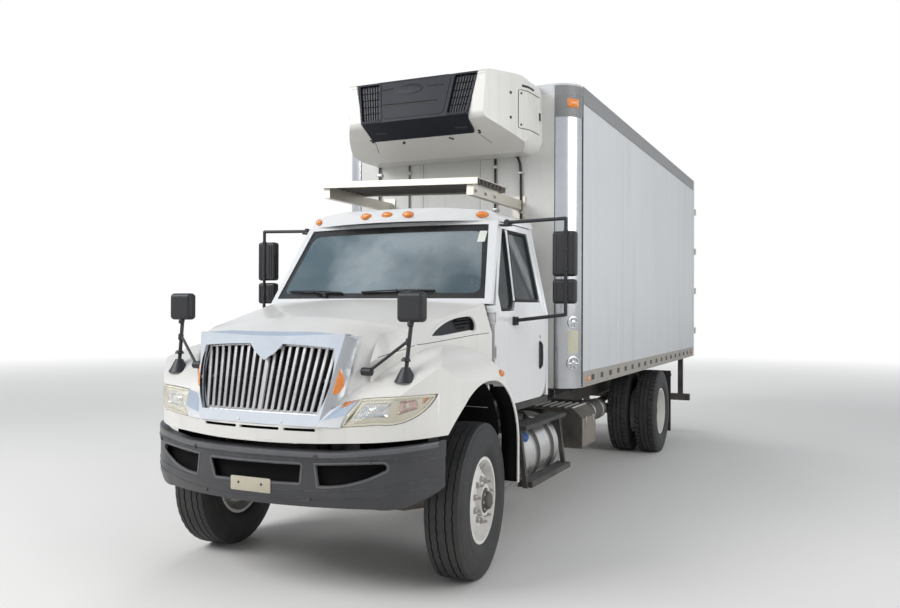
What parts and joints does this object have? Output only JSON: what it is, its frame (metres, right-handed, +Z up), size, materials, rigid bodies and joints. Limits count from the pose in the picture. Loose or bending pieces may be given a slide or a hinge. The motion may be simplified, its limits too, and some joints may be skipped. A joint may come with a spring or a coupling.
{
  "type": "refrigerated truck",
  "caption": "Conventional-cab refrigerated box truck with a nose-mounted cooling unit, tilting hood, opening cab and cargo doors, steered front wheels and twin rear wheels.",
  "frame": {"origin": "on the ground, in the middle of the overall length and width", "axes": "+Z up; -Y is the driving direction, so the front bumper is at the lowest Y; +X is the truck's left, the driver's side"},
  "size_m": [3.028, 9.403, 3.88],
  "materials": {
    "chassis_paint": "dusty satin black",
    "axle_iron": "rough dark grey",
    "engine_block": "dark grey",
    "cab_white": "gloss white",
    "hood_cream": "aged off-white moulding",
    "bumper_grey": "weathered dark grey",
    "chrome_trim": "polished",
    "bars_grey": "steel grey",
    "lamp_lens": "clear lens with amber tip",
    "window_glass": "dark tinted",
    "trim_black": "black",
    "interior_grey": "grained grey",
    "seat_cloth": "woven grey",
    "body_white": "white sheet",
    "post_metal": "polished",
    "rail_white": "satin white",
    "cargo_floor": "ribbed",
    "unit_shell": "gloss white moulding",
    "rail_grey": "weathered grey",
    "unit_face": "dark grey panel",
    "deck_metal": "cream anodised",
    "tyre_rubber": "dusty",
    "wheel_white": "worn white steel",
    "tank_metal": "brushed",
    "locker_tan": "dusty tan",
    "exhaust_steel": "heat-stained",
    "flap_rubber": "black",
    "guard_steel": "worn grey"
  },
  "bodies": {
    "chassis": {"frame_rails": "chassis_paint", "front_axle": "axle_iron", "rear_axle": "axle_iron", "engine": "engine_block", "radiator": "chassis_paint", "drive_line": "axle_iron", "exhaust": "exhaust_steel", "fuel_tank": "tank_metal", "cab_steps": "tank_metal", "chassis_locker": "locker_tan", "air_tank": "chassis_paint", "mud_flaps": "flap_rubber", "rear_guard": "guard_steel", "front_bumper": "bumper_grey", "windshield": "window_glass", "cab_front_frame": "cab_white", "cab_firewall": "cab_white", "cab_floor": "chassis_paint", "cab_back": "cab_white", "rear_window": "window_glass", "cab_roof": "cab_white", "dashboard": "interior_grey", "seats": "seat_cloth", "box_floor": "cargo_floor", "box_front_wall": "body_white", "box_side_left": "body_white", "box_side_right": "body_white", "corner_posts": "post_metal", "box_roof": "body_white", "box_rails": "rail_grey", "rear_frame": "rail_white", "unit_housing": "unit_shell", "unit_grille": "unit_face", "catwalk": "deck_metal"},
    "hood": {"hood_shell": "hood_cream", "fender_panels": "hood_cream", "arch_lips": "hood_cream", "grille_surround": "chrome_trim", "grille_bars": "bars_grey", "headlamps": "lamp_lens", "hood_mirrors": "trim_black"},
    "door_l": {"door_left": "cab_white", "door_glass_left": "window_glass", "door_mirror_left": "trim_black"},
    "door_r": {"door_right": "cab_white", "door_glass_right": "window_glass", "door_mirror_right": "trim_black"},
    "rear_door_l": {"rear_door_left": "body_white"},
    "rear_door_r": {"rear_door_right": "body_white"},
    "steer_l": {"knuckle_left": "axle_iron"},
    "steer_r": {"knuckle_right": "axle_iron"},
    "front_wheel_l": {"tyre_front_left": "tyre_rubber", "wheel_front_left": "wheel_white"},
    "front_wheel_r": {"tyre_front_right": "tyre_rubber", "wheel_front_right": "wheel_white"},
    "rear_wheels_l": {"tyres_rear_left": "tyre_rubber", "wheels_rear_left": "wheel_white"},
    "rear_wheels_r": {"tyres_rear_right": "tyre_rubber", "wheels_rear_right": "wheel_white"}
  },
  "joints": [
    {"name": "hood_tilt", "type": "hinge", "parent": "chassis", "child": "hood", "pos_m": [0, -4.629, 1.01], "axis": [1, 0, 0], "range_deg": [0, 60]},
    {"name": "steer_left", "type": "hinge", "parent": "chassis", "child": "steer_l", "pos_m": [0.88, -3.657, 0.53], "axis": [0, 0, 1], "range_deg": [-38, 27]},
    {"name": "steer_right", "type": "hinge", "parent": "chassis", "child": "steer_r", "pos_m": [-0.88, -3.657, 0.53], "axis": [0, 0, 1], "range_deg": [-38, 27]},
    {"name": "spin_front_left", "type": "hinge", "parent": "steer_l", "child": "front_wheel_l", "pos_m": [0.88, -3.657, 0.53], "axis": [0.9954, 0.0958, 0], "continuous": true},
    {"name": "spin_front_right", "type": "hinge", "parent": "steer_r", "child": "front_wheel_r", "pos_m": [-0.88, -3.657, 0.53], "axis": [0.9954, 0.0958, 0], "continuous": true},
    {"name": "spin_rear_left", "type": "hinge", "parent": "chassis", "child": "rear_wheels_l", "pos_m": [0.9, 2.123, 0.53], "axis": [1, 0, 0], "continuous": true},
    {"name": "spin_rear_right", "type": "hinge", "parent": "chassis", "child": "rear_wheels_r", "pos_m": [-0.9, 2.123, 0.53], "axis": [1, 0, 0], "continuous": true},
    {"name": "door_left_hinge", "type": "hinge", "parent": "chassis", "child": "door_l", "pos_m": [1.048, -3.171, 1.65], "axis": [0, 0, -1], "range_deg": [0, 60]},
    {"name": "door_right_hinge", "type": "hinge", "parent": "chassis", "child": "door_r", "pos_m": [-1.048, -3.171, 1.65], "axis": [0, 0, 1], "range_deg": [0, 60]},
    {"name": "rear_door_left_hinge", "type": "hinge", "parent": "chassis", "child": "rear_door_l", "pos_m": [1.227, 4.688, 2.46], "axis": [0, 0, -1], "range_deg": [0, 265]},
    {"name": "rear_door_right_hinge", "type": "hinge", "parent": "chassis", "child": "rear_door_r", "pos_m": [-1.227, 4.688, 2.46], "axis": [0, 0, 1], "range_deg": [0, 265]}
  ],
  "couplings": [
    {"joint": "steer_right", "follows": "steer_left", "ratio": 1}
  ]
}
